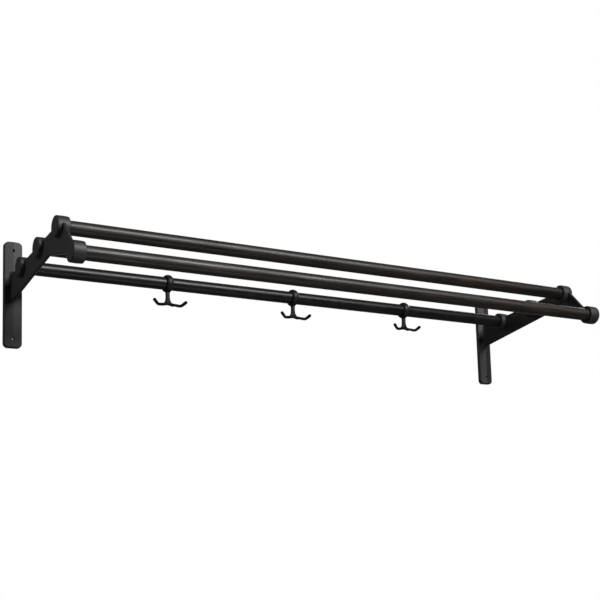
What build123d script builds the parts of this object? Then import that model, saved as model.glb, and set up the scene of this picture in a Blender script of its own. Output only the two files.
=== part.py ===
from build123d import *
import os
from math import cos, sin, tan, radians

# Wall-mounted hat shelf. Two mirrored cast brackets carry a row of three rods (the shelf), of which the
# one nearest the wall is a steel rail with three double hooks, and a fourth rod lower at the front.
# Frame: origin on the wall plane, midway between the four screw holes; +X along the rods, -Y out into
# the room, +Z up. All sizes in millimetres.

# Overall width, over the outer ends of the bosses
shelf_width = 1000.0

# Rods and rail
rod_diameter = 22.0
rod_end_chamfer = 1.0
rail_diameter = 22.0
rail_wall = 1.5
socket_clearance = 0.1    # radial, rods in their sockets
rod_end_play = 0.5        # at each end of a rod

# Where the rods run, seen from the side
rail_from_wall = 62.0
rail_height = 31.5        # above the middle of the screw holes
row_pitch = 89.0          # from rod to rod along the row
row_rise = 5.25           # degrees, the row climbs towards the front
hanger_from_wall = 304.5
hanger_height = -6.5

# Bosses of the casting; the parting plane is the middle of the web
boss_wall = 5.2           # around the socket, at the parting plane
boss_out = 9.5            # from the parting plane to the closed outer end
boss_in = 10.5            # from the parting plane to the open inner end
boss_end_wall = 4.0
boss_edge_radius = 1.8
draft = 2.0               # degrees, on the bosses

# Wall plate
plate_width = 30.0
plate_height = 175.0
plate_thickness = 10.0    # at its middle line
plate_ridge = 2.5         # by which the middle line stands out from the sides
plate_corner_radius = 7.5
plate_edge_radius = 2.0
screw_hole_diameter = 4.2
screw_hole_margin = 15.0  # from the plate's ends
screw_hole_chamfer = 0.5

# Web between plate and bosses
web_thickness = 5.0
web_edge_radius = 1.2
web_above_row = 7.0       # upper edge over the row's middle line
brace_drop = 43.0         # lower edge under the rail's middle, at the wall plane
brace_rise = 8.8          # degrees, lower edge climbs towards the front
bend_from_wall = 187.0    # where the lower edge turns down to the hanger rod
bend_radius = 12.0
nose_cover_row = 12.9     # front edge, ahead of the front shelf rod's middle
nose_cover_hanger = 2.0   # front edge, ahead of the hanger rod's middle
web_corner_radius = 4.0   # between web edges and bosses
root_radius = 6.0         # between web and plate
boss_root_radius = 2.0    # between web and bosses

# Double hooks; drops are taken from the rail's middle
hook_spacing = 245.0
hook_offset = 2.0         # of the middle hook from the shelf's middle
ring_clearance = 0.3      # radial, ring on the rail
ring_width = 10.5
ring_crown = 3.9          # wall at the middle of the ring
ring_side_wall = 2.2      # wall at the ring's side faces
stem_width = 6.6          # at its waist
stem_depth = 6.6
stem_edge_radius = 2.0
neck_width = 9.0          # stem inside the ring
waist_drop = 21.0
foot_drop = 34.6          # where the two prongs meet
foot_spread = 10.0        # half width of the foot
foot_arch_radius = 14.0   # under the foot
prong_root_diameter = 4.2
prong_tip_diameter = 5.8  # the prongs thicken towards their tips
crook_spread = 20.8       # corner of a prong's middle line, rounded by its bend
crook_reach = 7.5
crook_drop = 38.9
crook_radius = 7.5
tip_spread = 30.5         # half distance between the tips
tip_reach = 11.5
tip_drop = 30.6
tip_radius = 2.4

# Aids to the modelling
tolerance = 1e-3
overcut = 1.0             # by which a cutting solid stands out of what it cuts
seam_turn = 40.0          # degrees, turns the seam of a boss's circle into the sheet

# Derived places
web_x = shelf_width / 2 - boss_out
row_step = Vector(-row_pitch * cos(radians(row_rise)), row_pitch * sin(radians(row_rise)))
row_normal = Vector(sin(radians(row_rise)), cos(radians(row_rise)))
rail_at = Vector(-rail_from_wall, rail_height)
middle_at = rail_at + row_step
front_at = middle_at + row_step
hanger_at = Vector(-hanger_from_wall, hanger_height)
seats = [
    (rail_at, rail_diameter),
    (middle_at, rod_diameter),
    (front_at, rod_diameter),
    (hanger_at, rod_diameter),
]
socket_floor_x = web_x + boss_out - boss_end_wall
rod_length = 2 * (socket_floor_x - rod_end_play)
roof_slope = plate_ridge / (plate_width / 2)


def socket_radius(diameter):
    return diameter / 2 + socket_clearance


def boss_radius(diameter):
    return socket_radius(diameter) + boss_wall


def radius_at_web(diameter):
    # Where the drafted boss comes out of the web's face.
    return boss_radius(diameter) - web_thickness / 2 * tan(radians(draft))


def on_a_boss(point):
    # Whether a point of the web's face, in y and z, lies at the foot of a boss.
    return any(abs((point - at).length - radius_at_web(diameter)) < tolerance for at, diameter in seats)


def along_x(solid, at, x=0.0):
    # Puts a solid that was made about the X axis onto the axis of a rod; at holds y and z.
    return Pos(x, at.X, at.Y) * solid


def boss(diameter):
    # Solid of revolution with draft both ways from the parting plane; the closed end is at -X.
    middle = boss_radius(diameter)
    outer = middle - boss_out * tan(radians(draft))
    inner = middle - boss_in * tan(radians(draft))
    corners = [(-boss_out, 0), (-boss_out, outer), (0, middle), (boss_in, inner), (boss_in, 0)]
    profile = make_face(Polyline(*corners, close=True))
    ends = profile.vertices().filter_by(lambda v: v.Y > 0 and abs(v.X) > web_thickness)
    return revolve(fillet(ends, boss_edge_radius), Axis.X)


def socket(diameter):
    depth = boss_out - boss_end_wall + boss_in
    hole = Cylinder(socket_radius(diameter), depth, align=(Align.CENTER, Align.CENTER, Align.MIN))
    return Pos(boss_in - depth, 0, 0) * Rot(0, 90, 0) * hole


def web_outline():
    # Side profile in y and z: a tapering sheet that joins the plate and the four bosses.
    def brace_height(y):
        return rail_height - brace_drop - y * tan(radians(brace_rise))

    top_at_row = rail_at + row_normal * web_above_row
    rear = -plate_thickness / 2
    rise = tan(radians(row_rise))
    nose = (hanger_at - front_at).normalized()
    ahead = Vector(nose.Y, -nose.X)
    points = [
        (rear, brace_height(rear)),
        (-bend_from_wall, brace_height(-bend_from_wall)),
        hanger_at,
        hanger_at + ahead * nose_cover_hanger,
        front_at + ahead * nose_cover_row,
        front_at + row_normal * web_above_row,
        (rear, top_at_row.Y + (top_at_row.X - rear) * rise),
    ]
    outline = make_face(Polyline(*points, close=True))
    for at, diameter in seats:
        outline += Pos(at.X, at.Y) * Rot(0, 0, seam_turn) * Circle(radius_at_web(diameter))
    corners = outline.vertices().filter_by(lambda vertex: on_a_boss(Vector(vertex.X, vertex.Y)))
    outline = fillet(corners, web_corner_radius)
    bend = outline.vertices().sort_by_distance(points[1])[0]
    return fillet(bend, bend_radius)


def half_web():
    # The sheet's outer half, from the parting plane to its rounded face at -X.
    sheet = extrude(Plane.YZ * web_outline(), -web_thickness / 2)
    return fillet(sheet.edges().group_by(Axis.X)[0], web_edge_radius)


def half_plate():
    # The front is a low roof: it slopes back from the ridge at the parting plane to the side.
    half = plate_width / 2
    side = plate_thickness - plate_ridge
    section = Polyline((-half, 0), (0, 0), (0, -plate_thickness), (-half, -side), close=True)
    prism = extrude(make_face(section), plate_height / 2, dir=(0, 0, 1), both=True)
    front_view = Plane.XZ * RectangleRounded(plate_width, plate_height, plate_corner_radius)
    plate = prism & extrude(front_view, plate_thickness, both=True)
    front = plate.faces().sort_by(Axis.Y)[0]
    rim = front.edges().filter_by(lambda edge: edge.center().X < -tolerance)
    return fillet(rim, plate_edge_radius)


def half_casting():
    # Plate and web on one side of the parting plane, with the blend between them.
    def at_the_root(edge):
        places = [edge.position_at(t) for t in (0, 0.5, 1)]
        on_front = all(abs(p.Y + plate_thickness + p.X * roof_slope) < tolerance for p in places)
        beside_web = all(p.X > -web_thickness / 2 - tolerance for p in places)
        on_ridge = all(abs(p.X) < tolerance for p in places)
        return on_front and beside_web and not on_ridge

    half = half_plate() + half_web()
    return fillet(half.edges().filter_by(at_the_root), root_radius)


def screw_hole():
    # Made at the wall plane, running out to the front along -Y.
    radius = screw_hole_diameter / 2
    mouth = radius + screw_hole_chamfer
    front = -plate_thickness
    profile = Polyline(
        (0, overcut), (radius, overcut), (radius, front + screw_hole_chamfer),
        (mouth, front), (mouth, front - overcut), (0, front - overcut), close=True,
    )
    return revolve(make_face(profile), Axis.Y)


def bracket():
    # Left bracket about its own parting plane at x = 0.
    def at_a_boss_root(edge):
        places = [edge.position_at(t) for t in (0, 0.25, 0.5, 0.75, 1)]
        on_face = all(abs(abs(p.X) - web_thickness / 2) < tolerance for p in places)
        return on_face and all(on_a_boss(Vector(p.Y, p.Z)) for p in places)

    half = half_casting()
    casting = half + mirror(half, Plane.YZ)
    for at, diameter in seats:
        casting += along_x(boss(diameter), at)
    casting = fillet(casting.edges().filter_by(at_a_boss_root), boss_root_radius)
    for at, diameter in seats:
        casting -= along_x(socket(diameter), at)
    for end in (-1, 1):
        casting -= Pos(0, 0, end * (plate_height / 2 - screw_hole_margin)) * screw_hole()
    return casting


def rod():
    bar = Rot(0, 90, 0) * Cylinder(rod_diameter / 2, rod_length)
    return chamfer(bar.edges().filter_by(GeomType.CIRCLE), rod_end_chamfer)


def rail():
    tube = Cylinder(rail_diameter / 2, rod_length) - Cylinder(rail_diameter / 2 - rail_wall, rod_length)
    return Rot(0, 90, 0) * tube


def hook_ring():
    bore = rail_diameter / 2 + ring_clearance
    half = ring_width / 2
    side = bore + ring_side_wall
    crown = ThreePointArc((-half, side), (0, bore + ring_crown), (half, side))
    sides = Polyline((half, side), (half, bore), (-half, bore), (-half, side))
    return revolve(make_face(crown + sides), Axis.X)


def hook_stem():
    # Front view in x and z: hollow sides from the ring to the waist and on to the foot, whose two arms
    # follow the prongs.
    nose = prong_root_diameter / 2
    fall = Vector(crook_spread, foot_drop - crook_drop).normalized()
    rise = Vector(-fall.Y, fall.X)
    arm = Vector(0, -foot_drop) + fall * (foot_spread / fall.X)
    waist = Vector(stem_width / 2, -waist_drop)
    neck = Vector(neck_width / 2, -rail_diameter / 2)
    arch = Vector(0, -foot_drop - nose / fall.X)
    right = [
        TangentArc(waist, neck, tangent=(0, 1)),
        Spline(waist, arm + rise * nose, tangents=[(0, -1), fall]),
        ThreePointArc(arm + rise * nose, arm + fall * nose, arm - rise * nose),
        Line(arm - rise * nose, arch),
    ]
    top = Line(neck, (-neck.X, neck.Y))
    front_view = make_face(right + [mirror(edge, Plane.YZ) for edge in right] + [top])
    front_view = fillet(front_view.vertices().sort_by_distance(arch)[0], foot_arch_radius)
    stem = extrude(Plane.XZ * front_view, stem_depth / 2, both=True)
    faces = stem.edges().group_by(Axis.Y)
    rim = (faces[0] + faces[-1]).filter_by(lambda edge: edge.center().Z < neck.Y - tolerance)
    return fillet(rim, stem_edge_radius)


def prong():
    # Round bar from the foot, outward and forward, then up to a thicker, blunt tip.
    path = FilletPolyline(
        (0, 0, -foot_drop),
        (crook_spread, -crook_reach, -crook_drop),
        (tip_spread, -tip_reach, -tip_drop),
        radius=crook_radius,
    )
    root = Plane(path @ 0, z_dir=path % 0) * Circle(prong_root_diameter / 2)
    end = Plane(path @ 1, z_dir=path % 1) * Circle(prong_tip_diameter / 2)
    bar = sweep([root, end], path, multisection=True)
    tip = bar.faces().sort_by_distance(path @ 1)[0]
    return fillet(tip.edges(), tip_radius)


def hook():
    # One casting about the rail's axis; it hangs straight down.
    bar = prong()
    casting = hook_ring() + hook_stem() + bar + mirror(bar, Plane.YZ)
    rail_hole = Rot(0, 90, 0) * Cylinder(rail_diameter / 2 + ring_clearance, ring_width + 2 * overcut)
    return casting - rail_hole


os.makedirs("parts", exist_ok=True)
left = bracket()
hook_casting = hook()
nodes = {
    "left_bracket": Pos(-web_x, 0, 0) * left,
    "right_bracket": Pos(web_x, 0, 0) * mirror(left, Plane.YZ),
    "hook_rail": along_x(rail(), rail_at),
    "back_shelf_rod": along_x(rod(), middle_at),
    "front_shelf_rod": along_x(rod(), front_at),
    "hanger_rod": along_x(rod(), hanger_at),
}
for name, place in (("left", -1), ("middle", 0), ("right", 1)):
    nodes[f"hook_{name}"] = along_x(hook_casting, rail_at, hook_offset + place * hook_spacing)
for name, solid in nodes.items():
    export_step(solid, f"parts/{name}.step")
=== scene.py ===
import bpy
import math
from mathutils import Matrix, Vector

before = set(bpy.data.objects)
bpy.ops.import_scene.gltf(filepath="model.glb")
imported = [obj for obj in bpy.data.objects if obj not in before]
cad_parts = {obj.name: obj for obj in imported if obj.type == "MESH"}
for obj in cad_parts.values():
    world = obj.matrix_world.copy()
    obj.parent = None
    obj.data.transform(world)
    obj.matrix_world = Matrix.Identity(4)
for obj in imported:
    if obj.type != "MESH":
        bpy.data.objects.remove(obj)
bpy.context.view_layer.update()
scene = bpy.context.scene
scene.view_settings.view_transform = "Standard"
print("frame loaded:", ", ".join(sorted(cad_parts)))

mmPerMetre = 1000.0
noiseSpan = (0.3, 0.7)      # most of a noise texture's values lie between these


def linearColour(hexText):
    # sRGB hex as picked from a swatch, to the linear values that the shader takes
    channels = [int(hexText[i:i + 2], 16) / 255 for i in (1, 3, 5)]
    return [c / 12.92 if c <= 0.04045 else ((c + 0.055) / 1.055) ** 2.4 for c in channels] + [1.0]


def addNode(tree, kind, settings=None, links=None):
    # settings: attribute, input name or input number to value; links: input to an output socket
    node = tree.nodes.new(kind)
    for name, value in (settings or {}).items():
        if isinstance(name, str) and hasattr(node, name):
            setattr(node, name, value)
        else:
            node.inputs[name].default_value = value
    for name, socket in (links or {}).items():
        tree.links.new(socket, node.inputs[name])
    return node


def newMaterial(name):
    material = bpy.data.materials.new(name)
    material.use_nodes = True
    material.node_tree.nodes.clear()
    return material, material.node_tree


def perMetre(millimetres):
    # a texture scale whose features are about this long
    return mmPerMetre / millimetres


def topCoat(material, look, tonePattern, roughPattern, relief):
    # two tones and a range of roughness, each spread by its pattern, on the look's pieces
    tree = material.node_tree
    colour = addNode(tree, "ShaderNodeValToRGB", {}, {"Fac": tonePattern})
    stops = colour.color_ramp.elements
    for stop, position, tint in zip(stops, look["toneSpan"], (look["dark"], look["light"])):
        stop.position = position
        stop.color = linearColour(tint)
    lowest, highest = noiseSpan
    smooth, rough = look["roughness"]
    roughness = addNode(tree, "ShaderNodeMapRange",
                        {"From Min": lowest, "From Max": highest, "To Min": smooth, "To Max": rough},
                        {"Value": roughPattern})
    shader = addNode(tree, "ShaderNodeBsdfPrincipled",
                     {"IOR": look["ior"], "Specular IOR Level": look["specular"]},
                     {"Base Color": colour.outputs["Color"], "Roughness": roughness.outputs["Result"],
                      "Normal": relief})
    addNode(tree, "ShaderNodeOutputMaterial", {}, {"Surface": shader.outputs["BSDF"]})
    for name in look["pieces"]:
        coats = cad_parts[name].data.materials
        coats.clear()
        coats.append(material)


# Powder coat on a sand casting: a fine orange peel over the slow unevenness of the cast skin,
# so that highlights are wide and a little broken
bracketCoat = {
    "pieces": ["left_bracket", "right_bracket"],
    "dark": "#131315",
    "light": "#1c1c1f",
    "toneSpan": (0.3, 0.7),     # values of the skin's pattern that get the two tones
    "ior": 1.5,                 # polyester resin
    "specular": 0.6,
    "roughness": (0.53, 0.63),
    "peelSize": 0.9,            # mm, drawn a little coarser than the real peel so that it shows
    "peelHeight": 0.03,         # mm
    "peelDetail": 2.0,
    "skinSize": 14.0,           # mm, unevenness of the casting
    "skinHeight": 0.12,         # mm
    "skinDetail": 3.0,
}
hookCoat = {
    "pieces": ["hook_left", "hook_middle", "hook_right"],
    "dark": "#111113",
    "light": "#18181a",
    "toneSpan": (0.3, 0.7),
    "ior": 1.5,
    "specular": 0.25,
    "roughness": (0.4, 0.5),
    "peelSize": 0.7,
    "peelHeight": 0.02,
    "peelDetail": 2.0,
    "skinSize": 8.0,
    "skinHeight": 0.06,
    "skinDetail": 3.0,
}


def powderCoat(name, look):
    material, tree = newMaterial(name)
    place = addNode(tree, "ShaderNodeTexCoord")
    skin = addNode(tree, "ShaderNodeTexNoise",
                   {"Scale": perMetre(look["skinSize"]), "Detail": look["skinDetail"]},
                   {"Vector": place.outputs["Object"]})
    peel = addNode(tree, "ShaderNodeTexNoise",
                   {"Scale": perMetre(look["peelSize"]), "Detail": look["peelDetail"]},
                   {"Vector": place.outputs["Object"]})
    wave = addNode(tree, "ShaderNodeBump", {"Distance": look["skinHeight"] / mmPerMetre},
                   {"Height": skin.outputs["Fac"]})
    grit = addNode(tree, "ShaderNodeBump", {"Distance": look["peelHeight"] / mmPerMetre},
                   {"Height": peel.outputs["Fac"], "Normal": wave.outputs["Normal"]})
    topCoat(material, look, skin.outputs["Fac"], peel.outputs["Fac"], grit.outputs["Normal"])


powderCoat("powderCoatedCasting", bracketCoat)
powderCoat("powderCoatedHook", hookCoat)
print("castings coated")

# Beech dowel, stained black and finished with a thin satin lacquer: grain runs along the rod,
# brown shows faintly through the stain, and the highlight is broken into long streaks
stainedRods = {
    "pieces": ["back_shelf_rod", "front_shelf_rod", "hanger_rod"],
    "dark": "#0f0c0a",
    "light": "#28201a",
    "toneSpan": (0.36, 0.62),
    "toneLift": 0.22,           # brings streaks times clouds up into that span
    "ior": 1.5,                 # lacquer
    "specular": 0.38,
    "roughness": (0.31, 0.57),
    "streak": (60.0, 2.0),      # mm, length and width of the grain's tone
    "pore": (14.0, 0.8),        # mm, drawn wider than real pores so that they show
    "poreDepth": 0.11,          # mm
    "grainDetail": 3.0,
    "grainWaver": 0.3,
    "cloud": 110.0,             # mm, slow change of the stain along the rod
    "cloudDetail": 1.0,
}


def stainedWood(name, look):
    material, tree = newMaterial(name)
    place = addNode(tree, "ShaderNodeTexCoord")
    layers = []
    for length, width in (look["streak"], look["pore"]):
        stretch = addNode(tree, "ShaderNodeMapping",
                          {"Scale": (perMetre(length), perMetre(width), perMetre(width))},
                          {"Vector": place.outputs["Object"]})
        layer = addNode(tree, "ShaderNodeTexNoise",
                        {"Scale": 1.0, "Detail": look["grainDetail"], "Distortion": look["grainWaver"]},
                        {"Vector": stretch.outputs["Vector"]})
        layers.append(layer.outputs["Fac"])
    streak, pore = layers
    cloud = addNode(tree, "ShaderNodeTexNoise",
                    {"Scale": perMetre(look["cloud"]), "Detail": look["cloudDetail"]},
                    {"Vector": place.outputs["Object"]})
    tone = addNode(tree, "ShaderNodeMath", {"operation": "MULTIPLY_ADD", 2: look["toneLift"]},
                   {0: streak, 1: cloud.outputs["Fac"]})
    grain = addNode(tree, "ShaderNodeBump", {"Distance": look["poreDepth"] / mmPerMetre}, {"Height": pore})
    topCoat(material, look, tone.outputs["Value"], streak, grain.outputs["Normal"])


stainedWood("blackStainedBeech", stainedRods)
print("rods stained")

# Drawn steel tube, sprayed with black satin lacquer: neutral and even, with a narrower highlight
# than the rods and a faint unevenness from spraying
railLacquer = {
    "pieces": ["hook_rail"],
    "dark": "#0d0c0c",
    "light": "#151413",
    "toneSpan": (0.35, 0.65),
    "ior": 1.5,                 # lacquer, which hides the steel
    "specular": 0.28,
    "roughness": (0.3, 0.4),
    "spraySize": 18.0,          # mm, patches of the spray coat
    "sprayHeight": 0.03,        # mm
    "sprayDetail": 4.0,
}


def lacqueredSteel(name, look):
    material, tree = newMaterial(name)
    place = addNode(tree, "ShaderNodeTexCoord")
    spray = addNode(tree, "ShaderNodeTexNoise",
                    {"Scale": perMetre(look["spraySize"]), "Detail": look["sprayDetail"]},
                    {"Vector": place.outputs["Object"]})
    film = addNode(tree, "ShaderNodeBump", {"Distance": look["sprayHeight"] / mmPerMetre},
                   {"Height": spray.outputs["Fac"]})
    topCoat(material, look, spray.outputs["Fac"], spray.outputs["Fac"], film.outputs["Normal"])


lacqueredSteel("lacqueredSteelTube", railLacquer)
print("rail lacquered")

# Pale matt floor at a hallway's height under the shelf. The lamps reach little of it, so it glows
# pale to the eye and faintly in reflections, and its grey keeps the shelf's shadow
floorLook = {
    "drop": 1.6,                # m, from the middle of the wall plates down
    "radius": 30.0,             # m
    "sides": 128,
    "grey": "#6e6e6c",
    "glow": "#f0f0ee",
    "glowSeen": 0.85,
    "glowMirrored": 0.03,
    "roughness": 0.8,
}
bpy.ops.mesh.primitive_circle_add(vertices=floorLook["sides"], radius=floorLook["radius"],
                                  fill_type="NGON", location=(0, 0, -floorLook["drop"]))
floor = bpy.context.object
floor.name = "floor"
floorMaterial, floorTree = newMaterial("paleFloor")
floorRay = addNode(floorTree, "ShaderNodeLightPath")
floorMirrored = addNode(floorTree, "ShaderNodeMath", {"operation": "ADD", "use_clamp": True},
                        {0: floorRay.outputs["Is Glossy Ray"],
                         1: floorRay.outputs["Is Transmission Ray"]})
floorFaint = addNode(floorTree, "ShaderNodeMath",
                     {"operation": "MULTIPLY", 1: floorLook["glowMirrored"]},
                     {0: floorMirrored.outputs["Value"]})
floorGlow = addNode(floorTree, "ShaderNodeMath",
                    {"operation": "MULTIPLY_ADD", 1: floorLook["glowSeen"]},
                    {0: floorRay.outputs["Is Camera Ray"], 2: floorFaint.outputs["Value"]})
floorShader = addNode(floorTree, "ShaderNodeBsdfPrincipled",
                      {"Base Color": linearColour(floorLook["grey"]),
                       "Roughness": floorLook["roughness"],
                       "Emission Color": linearColour(floorLook["glow"])},
                      {"Emission Strength": floorGlow.outputs["Value"]})
addNode(floorTree, "ShaderNodeOutputMaterial", {}, {"Surface": floorShader.outputs["BSDF"]})
floor.data.materials.append(floorMaterial)
print("floor laid")

# White sweep behind the shelf in a dim room: white to the eye all round, and white in reflections
# where the sweep stands
surround = {
    "white": "#ffffff",
    "background": 1.0,
    "room": 0.04,
    "sweepAt": (0.51, 0.84, 0.17),      # from the shelf to the middle of the sweep
    "sweepEdge": (10.0, 40.0),          # degrees from there, where it starts to fade and where it ends
}
world = bpy.data.worlds.new("studio")
scene.world = world
world.use_nodes = True
worldTree = world.node_tree
worldTree.nodes.clear()
ray = addNode(worldTree, "ShaderNodeLightPath")
way = addNode(worldTree, "ShaderNodeTexCoord")
towardsSweep = addNode(worldTree, "ShaderNodeVectorMath",
                       {"operation": "DOT_PRODUCT", 1: Vector(surround["sweepAt"]).normalized()},
                       {0: way.outputs["Generated"]})
sweepFull, sweepEnd = [math.cos(math.radians(angle)) for angle in surround["sweepEdge"]]
sweep = addNode(worldTree, "ShaderNodeMapRange",
                {"interpolation_type": "SMOOTHSTEP", "From Min": sweepEnd, "From Max": sweepFull},
                {"Value": towardsSweep.outputs["Value"]})
mirrored = addNode(worldTree, "ShaderNodeMath", {"operation": "ADD", "use_clamp": True},
                   {0: ray.outputs["Is Glossy Ray"], 1: ray.outputs["Is Transmission Ray"]})
seenWhite = addNode(worldTree, "ShaderNodeMath", {"operation": "MULTIPLY_ADD", "use_clamp": True},
                    {0: mirrored.outputs["Value"], 1: sweep.outputs["Result"],
                     2: ray.outputs["Is Camera Ray"]})
white = linearColour(surround["white"])
room = addNode(worldTree, "ShaderNodeBackground", {"Color": white, "Strength": surround["room"]})
backdrop = addNode(worldTree, "ShaderNodeBackground",
                   {"Color": white, "Strength": surround["background"]})
both = addNode(worldTree, "ShaderNodeMixShader", {},
               {0: seenWhite.outputs["Value"], 1: room.outputs["Background"],
                2: backdrop.outputs["Background"]})
addNode(worldTree, "ShaderNodeOutputWorld", {}, {"Surface": both.outputs["Shader"]})

# Softboxes: the key stands in front, to the right and above, and a weak one hangs over the shelf.
# Three more stand behind, at the left, the right and the middle, and a card low in front
# lights the undersides. Places, aims and sizes are in metres
middle = (0.0, -0.15, 0.0)
softboxes = {
    "key": {"place": (0.55, -2.3, 1.4), "aim": middle, "size": (1.7, 0.8), "watts": 95.0},
    "top": {"place": (0.0, -0.5, 2.2), "aim": middle, "size": (2.0, 0.8), "watts": 1.5},
    "side": {"place": (-1.9, 0.5, 0.5), "aim": (-0.4, -0.15, 0.0), "size": (1.0, 1.0), "watts": 4.0},
    "back": {"place": (2.6, 1.1, 1.0), "aim": middle, "size": (1.2, 1.2), "watts": 30.0},
    "rear": {"place": (0.7, 2.2, 0.7), "aim": middle, "size": (1.6, 1.2), "watts": 18.0},
    "card": {"place": (0.1, -1.0, -1.05), "aim": (-0.2, -0.2, 0.0), "size": (0.8, 0.4), "watts": 1.8},
}
for name, box in softboxes.items():
    lamp = bpy.data.lights.new(name, "AREA")
    lamp.shape = "RECTANGLE"
    lamp.size, lamp.size_y = box["size"]
    lamp.energy = box["watts"]
    stand = bpy.data.objects.new(name, lamp)
    scene.collection.objects.link(stand)
    beam = Vector(box["aim"]) - Vector(box["place"])
    stand.location = box["place"]
    stand.rotation_euler = beam.to_track_quat("-Z", "Y").to_euler()
print("studio lit")

# Camera low in front of the left bracket, looking up a little
viewpoint = {
    "place": (-1.01876, -1.77924, -0.45823),        # m
    "turn": (0.53982, 0.13325, -0.02929),           # radians: to the right, upwards, roll
    "focalPixels": 1135.8,
    "frame": 600,                                   # pixels, both ways
    "lensAxis": (300.0, 420.0),                     # pixel, from the top left
}
cameraData = bpy.data.cameras.new("camera")
camera = bpy.data.objects.new("camera", cameraData)
scene.collection.objects.link(camera)
yaw, pitch, roll = viewpoint["turn"]
ahead = Vector((math.sin(yaw) * math.cos(pitch), math.cos(yaw) * math.cos(pitch), math.sin(pitch)))
level = Vector((math.cos(yaw), -math.sin(yaw), 0.0))
upright = level.cross(ahead)
right = level * math.cos(roll) + upright * math.sin(roll)
up = upright * math.cos(roll) - level * math.sin(roll)
facing = Matrix((right, up, -ahead)).transposed().to_4x4()
camera.matrix_world = Matrix.Translation(viewpoint["place"]) @ facing
frameSize = viewpoint["frame"]
axisX, axisY = viewpoint["lensAxis"]
cameraData.lens = viewpoint["focalPixels"] * cameraData.sensor_width / frameSize
cameraData.shift_x = (frameSize / 2 - axisX) / frameSize
cameraData.shift_y = (axisY - frameSize / 2) / frameSize
scene.camera = camera
print("camera set")
